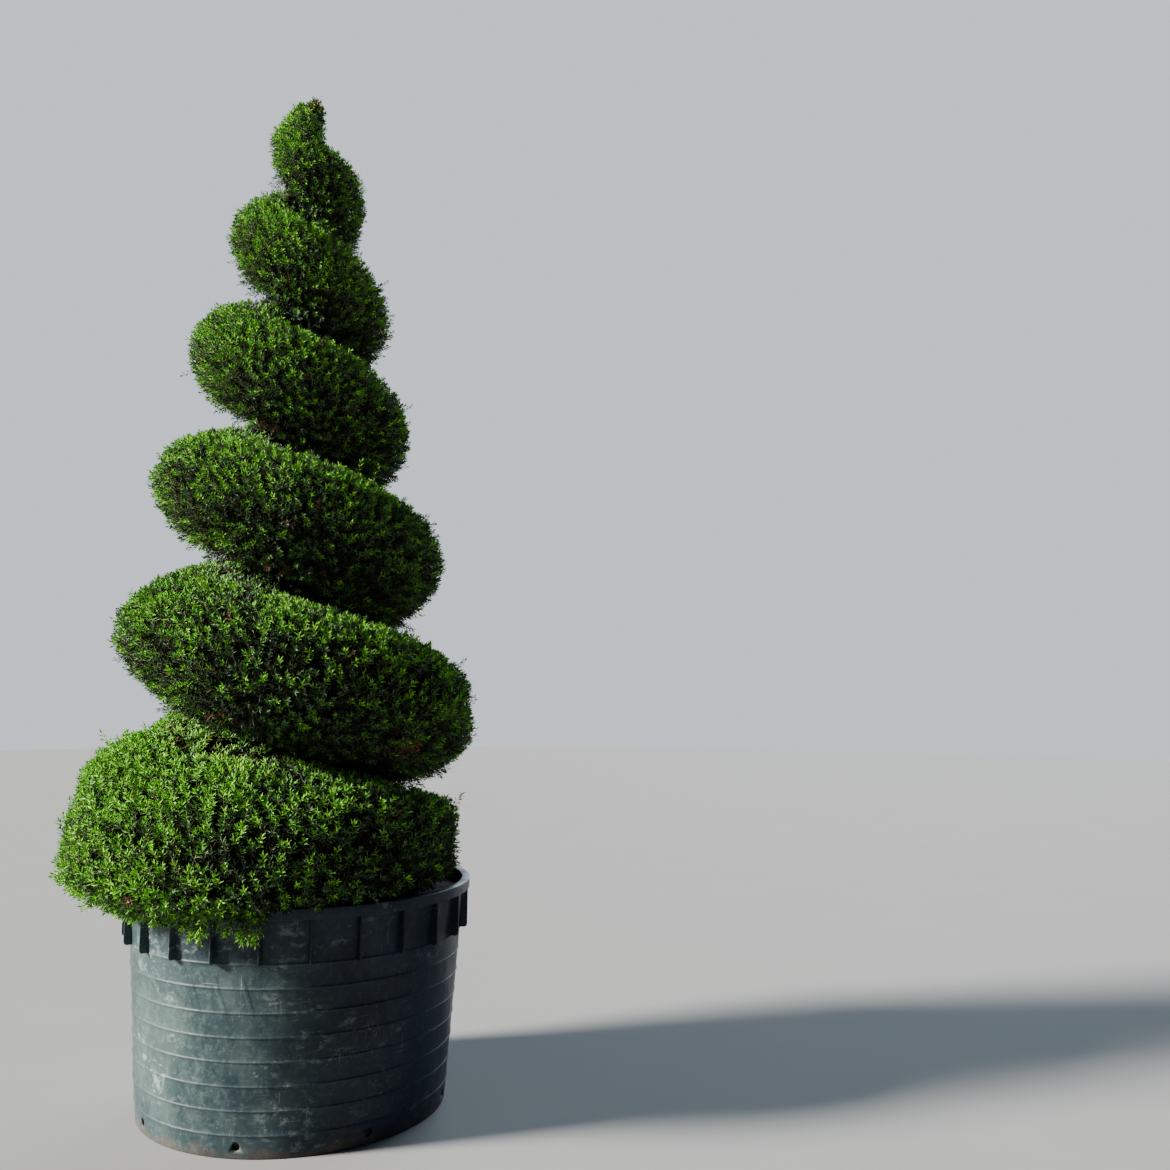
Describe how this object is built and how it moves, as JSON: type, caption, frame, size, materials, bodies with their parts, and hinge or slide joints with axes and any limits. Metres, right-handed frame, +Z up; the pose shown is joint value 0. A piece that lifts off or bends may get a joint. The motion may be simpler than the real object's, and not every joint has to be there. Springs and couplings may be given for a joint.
{
  "type": "spiral topiary in a round tub",
  "caption": "Conifer clipped into a tall tapering spiral band that winds down a hidden trunk, standing in a round nursery tub with hoops, gussets and a hanging lip.",
  "frame": {"origin": "middle of the tub's flat underside, on the ground", "axes": "+Z up, from the tub's underside to the tip of the spiral; +X to the right and +Y away when the plant is seen from the front, where the band comes down from left to right"},
  "size_m": [1.7045, 1.6555, 4.331],
  "materials": {
    "pot": "dull moulded plastic, dusty and scuffed",
    "soil": "rough dark growing medium",
    "bark": "flaking red-brown bark",
    "foliage": "dark green needles",
    "fresh_foliage": "fresh yellow-green needles"
  },
  "bodies": {
    "root": {"pot": "pot", "soil": "soil", "trunk": "bark", "foliage_tip": "foliage", "foliage_turn_1": "foliage", "foliage_turn_2": "foliage", "foliage_turn_3": "foliage", "foliage_turn_4": "foliage", "foliage_foot": "fresh_foliage"}
  },
  "joints": []
}
